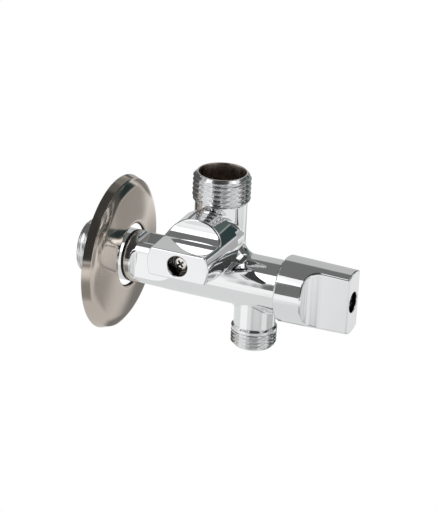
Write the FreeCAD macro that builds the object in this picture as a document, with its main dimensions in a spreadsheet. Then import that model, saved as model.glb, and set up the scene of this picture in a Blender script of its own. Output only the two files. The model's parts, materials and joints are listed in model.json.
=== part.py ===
import FreeCAD, Part
import math
import os
import re

import Sketcher
from FreeCAD import Placement, Rotation, Vector

# Wall-mounted three way valve: one inlet along +X, two outlets, two quarter-turn ceramic valves.
# The origin is on the inlet axis in the wall plane, +X points away from the wall and +Z up.
# Lengths are in millimetres and angles in degrees.
SIZES = {
    # parallel pipe threads: radius over the crests, pitch and the shape of one groove
    "half_thread_radius": 10.4775,
    "half_thread_pitch": 1.814,
    "small_thread_radius": 8.331,
    "small_thread_pitch": 1.337,
    "thread_depth_share": 0.6403,
    "thread_half_angle": 27.5,
    "thread_root_flat": 0.06,
    "thread_relief": 0.3,
    "thread_chamfer": 1.0,
    # the barrel with its inlet, which reaches into the wall
    "barrel_radius": 9.63,
    "barrel_wall": 2.13,
    "inlet_reach": 11.7,
    "inlet_thread_length": 13.0,
    "inlet_bore_radius": 7.0,
    "flat_start": 10.2,
    "flat_length": 15.6,
    "across_flats": 16.0,
    # the riser to the upper outlet, and the lower outlet
    "riser_x": 40.8,
    "riser_radius": 9.48,
    "riser_height": 39.3,
    "riser_thread_length": 10.5,
    "riser_bore_radius": 8.45,
    "outlet_spacing": 15.3,
    "drop_radius": 7.55,
    "drop_depth": 24.35,
    "drop_thread_length": 8.0,
    "drop_plain_band": 2.0,
    "drop_bore_radius": 5.9,
    "undercut_depth": 0.35,
    "undercut_length": 1.6,
    # water ways inside the casting
    "valve_height": 16.3,
    "seat_before_outlet": 2.93,
    "seat_port_radius": 4.0,
    "seat_web": 0.7,
    "feed_radius": 2.0,
    "gallery_wall": 1.43,
    "gallery_start": 4.8,
    "gallery_length": 4.0,
    "way_radius": 2.8,
    "way_roof": 0.9,
    # the cartridge, measured outwards from its seat
    "stack_depth": 14.0,
    "handle_gap": 0.4,
    "handle_clearance": 1.07,
    "seat_ring_height": 1.2,
    "disc_height": 2.0,
    "disc_gap": 0.02,
    "disc_clearance": 0.1,
    "disc_port_angle": 80.0,
    "disc_port_inset": 0.9,
    "disc_hub_radius": 1.3,
    "housing_wall": 1.2,
    "housing_fit": 0.05,
    "housing_lip": 0.6,
    "window_width": 8.0,
    "window_height": 3.0,
    "flange_radius": 9.2,
    "flange_height": 1.3,
    "hexagon_across": 15.0,
    "hexagon_height": 3.0,
    "nose_radius": 6.2,
    "nose_height": 1.0,
    "housing_ring_radius": 0.75,
    "housing_ring_below": 3.4,
    # the spindle
    "spindle_radius": 3.95,
    "spindle_fit": 0.05,
    "tang_width": 4.0,
    "tang_depth": 1.0,
    "tang_fit": 0.05,
    "tang_rise": 1.8,
    "foot_height": 1.0,
    "foot_clearance": 0.25,
    "washer_height": 0.4,
    "washer_width": 0.75,
    "stop_angle": 20.0,
    "stop_play": 1.0,
    "quarter_turn": 90.0,
    "shaft_ring_radius": 0.6,
    "shaft_ring_first": 1.6,
    "shaft_ring_spacing": 2.4,
    "circlip_height": 0.7,
    "circlip_depth": 0.5,
    "circlip_width": 1.5,
    "spline_count": 18.0,
    "spline_radius": 3.55,
    "spline_depth": 0.35,
    "spline_fit": 0.05,
    "spline_length": 5.6,
    # the handles
    "handle_length": 26.06,
    "handle_back_radius": 12.19,
    "handle_end_radius": 11.62,
    "handle_cavity_radius": 10.3,
    "handle_cavity_depth": 6.2,
    "handle_edge": 0.35,
    "scoop_start": 10.6,
    "scoop_root_radius": 5.0,
    "paddle_thickness": 10.36,
    "recess_radius": 3.8,
    "recess_depth": 4.8,
    # the handle screw
    "screw_radius": 1.5,
    "screw_fit": 0.2,
    "screw_length": 12.8,
    "screw_head_radius": 2.65,
    "screw_head_height": 2.0,
    "screw_head_round": 0.8,
    "cross_width": 0.8,
    "cross_length": 3.2,
    "cross_depth": 1.2,
    # the wall rosette
    "rosette_radius": 28.73,
    "rosette_skirt": 3.95,
    "rosette_dome_radius": 118.0,
    "rosette_sheet": 0.9,
    "rosette_hole_gap": 1.0225,
    "rosette_lip": 1.1,
}

# Lengths that follow from the driving sizes.
DERIVED = {
    "cartridge_radius": "barrel_radius - barrel_wall",
    "gallery_radius": "barrel_radius - gallery_wall",
    "housing_radius": "cartridge_radius - housing_fit",
    "chamber_radius": "housing_radius - housing_wall",
    "disc_radius": "chamber_radius - disc_clearance",
    "drop_x": "riser_x + outlet_spacing",
    "end_seat_x": "drop_x - seat_before_outlet",
    "barrel_end_x": "end_seat_x + stack_depth - handle_gap",
    "front_handle_y": "barrel_radius + handle_clearance",
    "front_seat_y": "stack_depth - front_handle_y",
    "boss_reach": "front_handle_y - handle_gap",
    "flange_z": "stack_depth - handle_gap",
    "hexagon_z": "flange_z + flange_height",
    "nose_z": "hexagon_z + hexagon_height",
    "housing_top_z": "nose_z + nose_height",
    "fixed_disc_z": "seat_ring_height",
    "moving_disc_z": "fixed_disc_z + disc_height + disc_gap",
    "moving_disc_top_z": "moving_disc_z + disc_height",
    "foot_z": "moving_disc_top_z + tang_rise",
    "foot_radius": "chamber_radius - foot_clearance",
    "washer_z": "foot_z + foot_height",
    "washer_radius": "spindle_radius + washer_width",
    "shoulder_z": "washer_z + washer_height + disc_gap",
    "stop_inner_radius": "washer_radius + foot_clearance",
    "spindle_bore_radius": "spindle_radius + spindle_fit",
    "circlip_z": "housing_top_z + spindle_fit",
    "spline_z": "circlip_z + circlip_height + foot_clearance",
    "spindle_top_z": "spline_z + spline_length",
    "handle_end_z": "stack_depth + handle_length",
    "recess_z": "handle_end_z - recess_depth",
    "socket_end_z": "spindle_top_z + handle_gap",
    "rosette_hole_radius": "max(barrel_radius; half_thread_radius) + rosette_hole_gap",
}


def expand(expression):
    """The expression with derived lengths written out and every cell named in full."""

    def replace(match):
        word = match.group(0)
        if word in DERIVED:
            return "(" + expand(DERIVED[word]) + ")"
        if word in SIZES:
            return "Sizes." + word
        return word

    return re.sub(r"[a-z][a-z_]*", replace, str(expression))


def value(expression):
    """The number that an expression has now."""
    return float(sheet.evalExpression(expand(expression)))


def bind(thing, **expressions):
    """Bind properties of an object to the sheet; a double underscore stands for a point."""
    for name, expression in expressions.items():
        thing.setExpression(name.replace("__", "."), expand(expression))


def origin_plane(body, role):
    return next(item for item in body.Origin.OriginFeatures if item.Role == role)


def place_on(body, thing, role, x=0, y=0, z=0):
    """Attach a sketch or primitive to one of its body's planes, moved by x, y, z in that plane's axes."""
    thing.AttachmentSupport = [(origin_plane(body, role), "")]
    thing.MapMode = "FlatFace"
    for axis, offset in zip("xyz", (x, y, z)):
        if offset != 0:
            thing.setExpression("AttachmentOffset.Base." + axis, expand(offset))


def new_body(label):
    body = doc.addObject("PartDesign::Body", label)
    body.Label = label
    return body


def arc_between(start, end, radius, side):
    """An arc whose centre lies left (1) or right (-1) of the chord; a sketch's arcs run anticlockwise."""
    chord = end - start
    middle = (start + end) * 0.5
    across = Vector(-chord.y, chord.x, 0).normalize()
    centre = middle + across * side * math.sqrt(radius**2 - (chord.Length / 2) ** 2)
    first, last = (start, end) if side > 0 else (end, start)
    angles = [math.atan2(point.y - centre.y, point.x - centre.x) for point in (first, last)]
    if angles[1] < angles[0]:
        angles[1] += 2 * math.pi
    return Part.ArcOfCircle(Part.Circle(centre, Vector(0, 0, 1), radius), *angles)


def outline(body, name, role, points, arcs=None, x=0, y=0, z=0):
    """A closed sketch through points given as pairs of expressions, with arcs as {index: (radius, side)}."""
    sketch = body.newObject("Sketcher::SketchObject", name)
    place_on(body, sketch, role, x, y, z)
    spots = [Vector(value(a), value(b), 0) for a, b in points]
    arcs = arcs or {}
    ends = []
    for index, start in enumerate(spots):
        end = spots[(index + 1) % len(spots)]
        if index in arcs:
            radius, side = arcs[index]
            sketch.addGeometry(arc_between(start, end, value(radius), side), False)
            ends.append((1, 2) if side > 0 else (2, 1))
        else:
            sketch.addGeometry(Part.LineSegment(start, end), False)
            ends.append((1, 2))
    for index in range(len(spots)):
        following = (index + 1) % len(spots)
        joint = Sketcher.Constraint("Coincident", index, ends[index][1], following, ends[following][0])
        sketch.addConstraint(joint)
    for index, (across, up) in enumerate(points):
        for kind, expression in (("DistanceX", across), ("DistanceY", up)):
            size = Sketcher.Constraint(kind, -1, 1, index, ends[index][0], value(expression))
            number = sketch.addConstraint(size)
            sketch.setExpression(f"Constraints[{number}]", expand(expression))
    for index, (radius, _) in arcs.items():
        number = sketch.addConstraint(Sketcher.Constraint("Radius", index, value(radius)))
        sketch.setExpression(f"Constraints[{number}]", expand(radius))
    return sketch


def rectangle(left, right, bottom, top):
    return [(left, bottom), (right, bottom), (right, top), (left, top)]


def turn(body, kind, name, sketch, axis, angle=360):
    """A Revolution or Groove of a sketch about one of its own axes."""
    feature = body.newObject("PartDesign::" + kind, name)
    feature.Profile = sketch
    feature.ReferenceAxis = (sketch, [axis])
    feature.Angle = angle
    body.Tip = feature
    return feature


def extrude(body, name, sketch, length, reversed_way=False):
    """A Pad of a sketch."""
    feature = body.newObject("PartDesign::Pad", name)
    feature.Profile = sketch
    feature.Reversed = reversed_way
    bind(feature, Length=length)
    body.Tip = feature
    return feature


def cut_through(body, name, sketch):
    """A Pocket that runs right through, both ways from its sketch."""
    feature = body.newObject("PartDesign::Pocket", name)
    feature.Profile = sketch
    feature.Type = "ThroughAll"
    feature.Midplane = True
    body.Tip = feature
    return feature


def rod(body, name, adding, role, radius, length, x=0, y=0, z=0, angle=None, turned=None):
    """A cylinder added to or cut from a body, square to one of its planes; angle makes it a wedge."""
    kind = "AdditiveCylinder" if adding else "SubtractiveCylinder"
    feature = body.newObject("PartDesign::" + kind, name)
    place_on(body, feature, role, x, y, z)
    bind(feature, Radius=radius, Height=length)
    if angle is not None:
        bind(feature, Angle=angle)
        bind(feature, AttachmentOffset__Rotation__Angle=turned)
    body.Tip = feature
    return feature


def polygon_points(count, radius, inner=None):
    """Corners of a regular polygon, or of a star when an inner radius is given."""
    radii = [radius] if inner is None else [radius, inner]
    total = count * len(radii)
    points = []
    for index in range(total):
        degrees = 360 * index / total
        reach = radii[index % len(radii)]
        points.append((f"({reach}) * cos({degrees} deg)", f"({reach}) * sin({degrees} deg)"))
    return points


def thread_grooves(body, name, role, across, radius, pitch, first, way, length, **offset):
    """Ring grooves at a thread's pitch, from the mouth inwards; across tells which sketch axis is radial."""
    depth = f"{pitch} * thread_depth_share"
    relief = "thread_relief"
    flare = f"thread_root_flat + ({depth} + {relief}) * tan(thread_half_angle * 1 deg)"
    centre = f"({first}) + {way} * {pitch} / 2"
    points = [
        (f"{radius} - {depth}", f"{centre} - thread_root_flat"),
        (f"{radius} + {relief}", f"{centre} - ({flare})"),
        (f"{radius} + {relief}", f"{centre} + {flare}"),
        (f"{radius} - {depth}", f"{centre} + thread_root_flat"),
    ]
    if across == "y":
        points = [(along, radial) for radial, along in points]
    sketch = outline(body, name + "_profile", role, points, **offset)
    axis = "V_Axis" if across == "x" else "H_Axis"
    groove = turn(body, "Groove", name, sketch, axis)
    pattern = body.newObject("PartDesign::LinearPattern", name + "_row")
    pattern.Originals = [groove]
    pattern.Direction = (sketch, [axis])
    pattern.Reversed = way < 0
    count = f"floor(({length}) / {pitch})"
    bind(pattern, Occurrences=count, Length=f"({count} - 1) * {pitch}")
    body.Tip = pattern
    return pattern


def cartridge_bore(start, way):
    """Profile of one cartridge's bore: (distance, radius) points from its seat port to its mouth."""
    gallery_end = "gallery_start + gallery_length"
    steps = [
        ("-seat_web - feed_radius * 1.5", "0"),
        ("-seat_web - feed_radius * 1.5", "seat_port_radius"),
        ("0", "seat_port_radius"),
        ("0", "cartridge_radius"),
        ("gallery_start", "cartridge_radius"),
        ("gallery_start", "gallery_radius"),
        (gallery_end, "gallery_radius"),
        (gallery_end, "cartridge_radius"),
        ("stack_depth", "cartridge_radius"),
        ("stack_depth", "0"),
    ]
    return [(f"({start}) + {way} * ({along})", radius) for along, radius in steps]


def make_valve_body():
    """The brass casting: barrel, riser, lower outlet, front boss, water ways, flats and pipe threads."""
    body = new_body("valve_body")
    slope = "half_thread_radius - barrel_radius"
    barrel = [
        ("-inlet_reach", "0"),
        ("-inlet_reach", "half_thread_radius - thread_chamfer"),
        ("-inlet_reach + thread_chamfer", "half_thread_radius"),
        ("inlet_thread_length - inlet_reach", "half_thread_radius"),
        (f"inlet_thread_length - inlet_reach + {slope}", "barrel_radius"),
        ("barrel_end_x", "barrel_radius"),
        ("barrel_end_x", "0"),
    ]
    turn(body, "Revolution", "barrel", outline(body, "barrel_profile", "XZ_Plane", barrel), "H_Axis")

    thread_foot = "riser_height - riser_thread_length"
    riser = [
        ("0", "0"),
        ("riser_radius", "0"),
        ("riser_radius", f"{thread_foot} - (half_thread_radius - riser_radius)"),
        ("half_thread_radius", thread_foot),
        ("half_thread_radius", "riser_height - thread_chamfer"),
        ("half_thread_radius - thread_chamfer", "riser_height"),
        ("0", "riser_height"),
    ]
    turn(
        body, "Revolution", "riser", outline(body, "riser_profile", "XZ_Plane", riser, x="riser_x"), "V_Axis"
    )

    thread_top = "drop_thread_length - drop_depth"
    undercut = "drop_radius - undercut_depth"
    drop = [
        ("0", "0"),
        ("0", "-drop_depth"),
        ("small_thread_radius - thread_chamfer", "-drop_depth"),
        ("small_thread_radius", "-drop_depth + thread_chamfer"),
        ("small_thread_radius", thread_top),
        (undercut, f"{thread_top} + small_thread_radius - ({undercut})"),
        (undercut, f"{thread_top} + undercut_length"),
        ("drop_radius", f"{thread_top} + undercut_length + undercut_depth"),
        ("drop_radius", "0"),
    ]
    turn(body, "Revolution", "drop", outline(body, "drop_profile", "XZ_Plane", drop, x="drop_x"), "V_Axis")
    rod(
        body, "front_boss", True, "XZ_Plane", "barrel_radius", "boss_reach", x="riser_x", y="valve_height"
    )

    supply = rectangle("-inlet_reach", "end_seat_x - seat_web", "0", "inlet_bore_radius")
    sketch = outline(body, "supply_profile", "XZ_Plane", supply)
    turn(body, "Groove", "supply_bore", sketch, "H_Axis")
    sketch = outline(body, "end_bore_profile", "XZ_Plane", cartridge_bore("end_seat_x", 1))
    turn(body, "Groove", "end_cartridge_bore", sketch, "H_Axis")
    sketch = outline(
        body,
        "front_bore_profile",
        "YZ_Plane",
        cartridge_bore("front_seat_y", -1),
        y="valve_height",
        z="riser_x",
    )
    turn(body, "Groove", "front_cartridge_bore", sketch, "H_Axis")

    feed_y = "front_seat_y + seat_web + feed_radius"
    rod(body, "feed_way", False, "XY_Plane", "feed_radius", "valve_height", x="riser_x", y=feed_y)
    riser_floor = "valve_height + gallery_radius + way_roof"
    rod(
        body,
        "riser_bore",
        False,
        "XY_Plane",
        "riser_bore_radius",
        f"riser_height - ({riser_floor})",
        x="riser_x",
        z=riser_floor,
    )
    gallery_middle = "gallery_start + gallery_length / 2"
    rod(
        body,
        "riser_way",
        False,
        "XY_Plane",
        "way_radius",
        "gallery_radius + way_roof - cartridge_radius + way_radius",
        x="riser_x",
        y=f"front_seat_y - ({gallery_middle})",
        z="valve_height + cartridge_radius - way_radius",
    )
    drop_roof = "barrel_radius + way_roof"
    rod(
        body,
        "drop_bore",
        False,
        "XY_Plane",
        "drop_bore_radius",
        f"drop_depth - ({drop_roof})",
        x="drop_x",
        z="-drop_depth",
    )
    rod(
        body,
        "drop_way",
        False,
        "XY_Plane",
        "way_radius",
        f"{drop_roof} - cartridge_radius + way_radius",
        x=f"end_seat_x + {gallery_middle} - way_roof",
        z=f"-({drop_roof})",
    )

    flats = body.newObject("PartDesign::SubtractiveBox", "front_flat")
    place_on(body, flats, "XY_Plane", "flat_start", "-barrel_radius * 2", "-barrel_radius")
    bind(flats, Length="flat_length", Width="barrel_radius * 2 - across_flats / 2", Height="barrel_radius * 2")
    mirrored = body.newObject("PartDesign::Mirrored", "back_flat")
    mirrored.Originals = [flats]
    mirrored.MirrorPlane = (origin_plane(body, "XZ_Plane"), [""])
    body.Tip = mirrored

    inlet_row = "inlet_thread_length - thread_chamfer"
    thread_grooves(
        body,
        "inlet_thread",
        "XZ_Plane",
        "y",
        "half_thread_radius",
        "half_thread_pitch",
        "thread_chamfer - inlet_reach",
        1,
        inlet_row,
    )
    thread_grooves(
        body,
        "riser_thread",
        "XZ_Plane",
        "x",
        "half_thread_radius",
        "half_thread_pitch",
        "riser_height - thread_chamfer",
        -1,
        "riser_thread_length - thread_chamfer",
        x="riser_x",
    )
    thread_grooves(
        body,
        "drop_thread",
        "XZ_Plane",
        "x",
        "small_thread_radius",
        "small_thread_pitch",
        "thread_chamfer - drop_depth",
        1,
        "drop_thread_length - thread_chamfer - drop_plain_band",
        x="drop_x",
    )
    return body


def make_rosette():
    """The spun rosette: skirt, shallow dome about the pipe axis, and a lip turned in round its hole."""
    body = new_body("wall_rosette")
    dome = "rosette_dome_radius"
    drop = f"sqrt({dome} * {dome} - rosette_radius * rosette_radius)"

    def dome_x(radius, sheet_under="0"):
        inner = f"({dome} - ({sheet_under}))"
        return f"rosette_skirt - {drop} + sqrt({inner} * {inner} - ({radius}) * ({radius}))"

    hole = "rosette_hole_radius"
    wall = "rosette_sheet"
    lip = "rosette_lip"
    points = [
        ("0", "rosette_radius"),
        ("rosette_skirt", "rosette_radius"),
        (dome_x(f"{hole} + {lip}"), f"{hole} + {lip}"),
        (f"{dome_x(f'{hole} + {lip}')} - {lip}", hole),
        (f"{dome_x(f'{hole} + {lip}')} - {lip}", f"{hole} + {wall}"),
        (dome_x(f"{hole} + {lip} + {wall}", wall), f"{hole} + {lip} + {wall}"),
        (dome_x(f"rosette_radius - {wall}", wall), f"rosette_radius - {wall}"),
        ("0", f"rosette_radius - {wall}"),
    ]
    arcs = {1: (dome, -1), 5: (f"{dome} - {wall}", 1)}
    sketch = outline(body, "rosette_profile", "XZ_Plane", points, arcs)
    turn(body, "Revolution", "rosette", sketch, "H_Axis")
    return body


def make_seat_ring(label):
    """Rubber ring between the casting's seat and the fixed disc."""
    body = new_body(label)
    points = rectangle("seat_port_radius", "disc_radius", "0", "seat_ring_height")
    turn(body, "Revolution", "ring", outline(body, "profile", "XZ_Plane", points), "V_Axis")
    return body


def ported_disc(label, bottom):
    """A ceramic disc with two opposite wedge ports round a solid hub."""
    body = new_body(label)
    rod(body, "disc", True, "XY_Plane", "disc_radius", "disc_height", z=bottom)
    for number in range(2):
        rod(
            body,
            f"port_{number}",
            False,
            "XY_Plane",
            "disc_radius - disc_port_inset",
            "disc_height",
            z=bottom,
            angle="disc_port_angle",
            turned=f"{180 * number} - disc_port_angle / 2",
        )
    rod(body, "hub", True, "XY_Plane", "disc_hub_radius", "disc_height", z=bottom)
    return body


def make_fixed_disc(label):
    """Ceramic disc that stays still on the seat ring."""
    return ported_disc(label, "fixed_disc_z")


def make_moving_disc(label):
    """Ceramic disc that the spindle turns on the fixed disc, with a slot for the spindle's tang."""
    body = ported_disc(label, "moving_disc_z")
    slot = body.newObject("PartDesign::SubtractiveBox", "slot")
    half = "(tang_width / 2 + tang_fit)"
    place_on(body, slot, "XY_Plane", f"-{half}", "-disc_radius", "moving_disc_top_z - tang_depth")
    bind(slot, Length=f"2 * {half}", Width="2 * disc_radius", Height="tang_depth * 2")
    body.Tip = slot
    return body


def make_housing(label):
    """Brass headwork housing: chamber for the discs, water windows, O-ring groove, flange and hexagon."""
    body = new_body(label)
    groove_low = "flange_z - housing_ring_below - housing_ring_radius"
    groove_high = "flange_z - housing_ring_below + housing_ring_radius"
    groove_floor = "cartridge_radius - 2 * housing_ring_radius"
    profile = [
        ("chamber_radius", "housing_lip"),
        ("housing_radius", "housing_lip"),
        ("housing_radius", groove_low),
        (groove_floor, groove_low),
        (groove_floor, groove_high),
        ("housing_radius", groove_high),
        ("housing_radius", "flange_z"),
        ("flange_radius", "flange_z"),
        ("flange_radius", "hexagon_z"),
        ("nose_radius", "hexagon_z"),
        ("nose_radius", "housing_top_z"),
        ("spindle_bore_radius", "housing_top_z"),
        ("spindle_bore_radius", "shoulder_z"),
        ("chamber_radius", "shoulder_z"),
    ]
    turn(body, "Revolution", "shell", outline(body, "profile", "XZ_Plane", profile), "V_Axis")
    corner = "hexagon_across / 2 / cos(30 deg)"
    sketch = outline(body, "hexagon_outline", "XY_Plane", polygon_points(6, corner), z="hexagon_z")
    extrude(body, "hexagon", sketch, "hexagon_height")
    rod(
        body,
        "stop_rib",
        True,
        "XY_Plane",
        "chamber_radius + housing_wall / 2",
        "shoulder_z - foot_z",
        z="foot_z",
        angle="stop_angle",
        turned="quarter_turn - stop_angle / 2",
    )
    rod(
        body,
        "stop_clearance",
        False,
        "XY_Plane",
        "stop_inner_radius",
        "shoulder_z - foot_z",
        z="foot_z",
    )
    rod(
        body,
        "spindle_bore",
        False,
        "XY_Plane",
        "spindle_bore_radius",
        "housing_top_z - foot_z",
        z="foot_z",
    )
    half = "window_width / 2"
    low = "moving_disc_top_z"
    window = rectangle(f"-{half}", half, low, f"{low} + window_height")
    cut_through(body, "windows", outline(body, "window_outline", "XZ_Plane", window))
    return body


def make_spindle(label):
    """Brass spindle: tang, foot with its stop notch, shaft with ring grooves, and splined end."""
    body = new_body(label)
    rod(body, "foot", True, "XY_Plane", "foot_radius", "foot_height", z="foot_z")
    rod(
        body,
        "stop_notch",
        False,
        "XY_Plane",
        "foot_radius * 2",
        "foot_height",
        z="foot_z",
        angle="quarter_turn + stop_angle + 2 * stop_play",
        turned="quarter_turn - stop_angle / 2 - stop_play",
    )
    rod(body, "foot_core", True, "XY_Plane", "washer_radius", "foot_height", z="foot_z")
    tang = body.newObject("PartDesign::AdditiveBox", "tang")
    tang_bottom = "moving_disc_top_z - tang_depth + disc_gap"
    reach = "(disc_radius - disc_port_inset)"
    place_on(body, tang, "XY_Plane", "-tang_width / 2", f"-{reach}", tang_bottom)
    bind(tang, Length="tang_width", Width=f"2 * {reach}", Height=f"foot_z + disc_gap - ({tang_bottom})")
    body.Tip = tang
    ring_floor = "spindle_bore_radius - 2 * shaft_ring_radius"
    shaft = [("0", "foot_z"), ("spindle_radius", "foot_z")]
    for number in range(2):
        middle = f"shoulder_z + shaft_ring_first + {number} * shaft_ring_spacing"
        shaft += [
            ("spindle_radius", f"{middle} - shaft_ring_radius"),
            (ring_floor, f"{middle} - shaft_ring_radius"),
            (ring_floor, f"{middle} + shaft_ring_radius"),
            ("spindle_radius", f"{middle} + shaft_ring_radius"),
        ]
    clip_floor = "spindle_radius - circlip_depth"
    shaft += [
        ("spindle_radius", "circlip_z"),
        (clip_floor, "circlip_z"),
        (clip_floor, "circlip_z + circlip_height"),
        ("spline_radius", "circlip_z + circlip_height"),
        ("spline_radius", "spline_z"),
        ("0", "spline_z"),
    ]
    turn(body, "Revolution", "shaft", outline(body, "shaft_profile", "XZ_Plane", shaft), "V_Axis")
    teeth = polygon_points(int(SIZES["spline_count"]), "spline_radius", "spline_radius - spline_depth")
    extrude(
        body,
        "splines",
        outline(body, "spline_outline", "XY_Plane", teeth, z="spline_z"),
        "spline_length",
    )
    bottom = "recess_z - screw_length - screw_fit"
    rod(body, "screw_hole", False, "XY_Plane", "screw_radius", f"spindle_top_z - ({bottom})", z=bottom)
    return body


def make_spindle_rings(label):
    """The two O-rings in the spindle's grooves, a hair clear of the housing's bore."""
    rings = []
    for number in range(2):
        ring = doc.addObject("Part::Torus", f"{label}_{number}")
        section = "(shaft_ring_radius - spindle_fit / 2)"
        bind(ring, Radius1="spindle_bore_radius - shaft_ring_radius", Radius2=section)
        bind(ring, Placement__Base__z=f"shoulder_z + shaft_ring_first + {number} * shaft_ring_spacing")
        rings.append(ring)
    group = doc.addObject("Part::Compound", label)
    group.Label = label
    group.Links = rings
    return group


def make_housing_ring(label):
    """O-ring in the housing's outer groove, which seals it in the casting's bore."""
    ring = doc.addObject("Part::Torus", label)
    ring.Label = label
    section = "(housing_ring_radius - housing_fit / 2)"
    bind(ring, Radius1="cartridge_radius - housing_ring_radius", Radius2=section)
    return ring


def make_washer(label):
    """PTFE glide washer between the spindle's foot and the housing's shoulder."""
    body = new_body(label)
    points = rectangle("spindle_bore_radius", "washer_radius", "washer_z", "washer_z + washer_height")
    turn(body, "Revolution", "washer", outline(body, "profile", "XZ_Plane", points), "V_Axis")
    return body


def make_circlip(label):
    """Open spring ring in the spindle's groove, just above the housing's nose."""
    body = new_body(label)
    inner = "spindle_radius - circlip_depth"
    points = rectangle(inner, f"{inner} + circlip_width", "circlip_z", "circlip_z + circlip_height")
    sketch = outline(body, "profile", "XZ_Plane", points)
    turn(body, "Revolution", "clip", sketch, "V_Axis", 320)
    return body


def edges_at(shape, test):
    """Names of a shape's edges whose middle passes a test."""
    names = []
    for number, edge in enumerate(shape.Edges, 1):
        middle = edge.valueAt((edge.FirstParameter + edge.LastParameter) / 2)
        if test(edge, middle):
            names.append(f"Edge{number}")
    return names


def make_handle(label):
    """Chromed quarter-turn handle: round collar, two scoops that leave a flat paddle, screw recess."""
    body = new_body(label)
    cavity_top = "stack_depth + handle_cavity_depth"
    profile = [
        ("0", cavity_top),
        ("handle_cavity_radius", cavity_top),
        ("handle_cavity_radius", "stack_depth"),
        ("handle_back_radius - handle_edge", "stack_depth"),
        ("handle_back_radius", "stack_depth + handle_edge"),
        ("handle_end_radius", "handle_end_z - handle_edge"),
        ("handle_end_radius - handle_edge", "handle_end_z"),
        ("0", "handle_end_z"),
    ]
    turn(body, "Revolution", "collar", outline(body, "profile", "XZ_Plane", profile), "V_Axis")
    scoop = body.newObject("PartDesign::SubtractiveBox", "scoop")
    scoop_z = "stack_depth + scoop_start"
    place_on(body, scoop, "XY_Plane", "-handle_back_radius", "paddle_thickness / 2", scoop_z)
    bind(scoop, Length="2 * handle_back_radius", Width="handle_back_radius", Height="handle_length")
    mirrored = body.newObject("PartDesign::Mirrored", "other_scoop")
    mirrored.Originals = [scoop]
    mirrored.MirrorPlane = (origin_plane(body, "XZ_Plane"), [""])
    body.Tip = mirrored
    doc.recompute()

    def is_root(edge, middle):
        level = abs(middle.z - value(scoop_z)) < 1e-3
        return level and abs(abs(middle.y) - value("paddle_thickness / 2")) < 1e-3

    root = body.newObject("PartDesign::Fillet", "scoop_root")
    root.Base = (mirrored, edges_at(mirrored.Shape, is_root))
    bind(root, Radius="scoop_root_radius")
    body.Tip = root
    rod(body, "recess", False, "XY_Plane", "recess_radius", "recess_depth", z="recess_z")
    rod(
        body,
        "screw_way",
        False,
        "XY_Plane",
        "screw_radius + screw_fit",
        f"recess_z - ({cavity_top})",
        z=cavity_top,
    )
    grown = "(spline_radius + spline_fit)"
    teeth = polygon_points(int(SIZES["spline_count"]), grown, f"{grown} - spline_depth")
    socket = body.newObject("PartDesign::Pocket", "spline_socket")
    socket.Profile = outline(body, "socket_outline", "XY_Plane", teeth, z=cavity_top)
    socket.Reversed = True
    bind(socket, Length=f"socket_end_z - ({cavity_top})")
    body.Tip = socket
    return body


def make_screw(label):
    """Steel cross-head screw that holds the handle on the spindle."""
    body = new_body(label)
    top = "recess_z + screw_head_height"
    profile = [
        ("0", "recess_z - screw_length"),
        ("screw_radius", "recess_z - screw_length"),
        ("screw_radius", "recess_z"),
        ("screw_head_radius", "recess_z"),
        ("screw_head_radius", f"{top} - screw_head_round"),
        ("screw_head_radius - screw_head_round", top),
        ("0", top),
    ]
    arcs = {4: ("screw_head_round", 1)}
    turn(body, "Revolution", "screw", outline(body, "profile", "XZ_Plane", profile, arcs), "V_Axis")
    crossing = (("cross_length", "cross_width"), ("cross_width", "cross_length"))
    for length, width in crossing:
        slot = body.newObject("PartDesign::SubtractiveBox", "cross_along_" + length)
        place_on(body, slot, "XY_Plane", f"-{length} / 2", f"-{width} / 2", f"{top} - cross_depth")
        bind(slot, Length=length, Width=width, Height="cross_depth * 2")
        body.Tip = slot
    return body


# Each valve is the same set of pieces; those that stay still are turned a quarter on a closed valve.
STILL_PIECES = {
    "seat_ring": make_seat_ring,
    "fixed_disc": make_fixed_disc,
    "headwork_housing": make_housing,
    "housing_o_ring": make_housing_ring,
}
TURNING_PIECES = {
    "moving_disc": make_moving_disc,
    "spindle": make_spindle,
    "spindle_o_rings": make_spindle_rings,
    "glide_washer": make_washer,
    "circlip": make_circlip,
    "handle": make_handle,
    "handle_screw": make_screw,
}


def place_station(piece, seat, rotation, quarter):
    """Put a piece built along +Z from its seat where its valve is."""
    turned = rotation.multiply(Rotation(Vector(0, 0, 1), quarter))
    lift = Vector(0, 0, 0)
    if piece.TypeId == "Part::Torus":
        lift = turned.multVec(Vector(0, 0, value("flange_z - housing_ring_below")))
    piece.Placement = Placement(seat + lift, turned)


def make_valves():
    """The open valve on the barrel's end and the closed valve on the front of the riser."""
    stations = {
        "end": (Vector(value("end_seat_x"), 0, 0), Rotation(Vector(0, 1, 0), 90), 0),
        "front": (
            Vector(value("riser_x"), value("front_seat_y"), value("valve_height")),
            Rotation(Vector(1, 0, 0), 90),
            value("quarter_turn"),
        ),
    }
    pieces = []
    for side, (seat, rotation, quarter) in stations.items():
        for name, make in STILL_PIECES.items():
            piece = make(f"{side}_{name}")
            place_station(piece, seat, rotation, quarter)
            pieces.append(piece)
        for name, make in TURNING_PIECES.items():
            piece = make(f"{side}_{name}")
            place_station(piece, seat, rotation, 0)
            pieces.append(piece)
    return pieces


doc = FreeCAD.newDocument("three_way_valve")
sheet = doc.addObject("Spreadsheet::Sheet", "Sizes")
for row, (alias, number) in enumerate(SIZES.items(), 1):
    sheet.set(f"A{row}", alias)
    sheet.set(f"B{row}", str(number))
    sheet.setAlias(f"B{row}", alias)
doc.recompute()

pieces = [make_valve_body(), make_rosette()] + make_valves()
doc.recompute()

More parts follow.
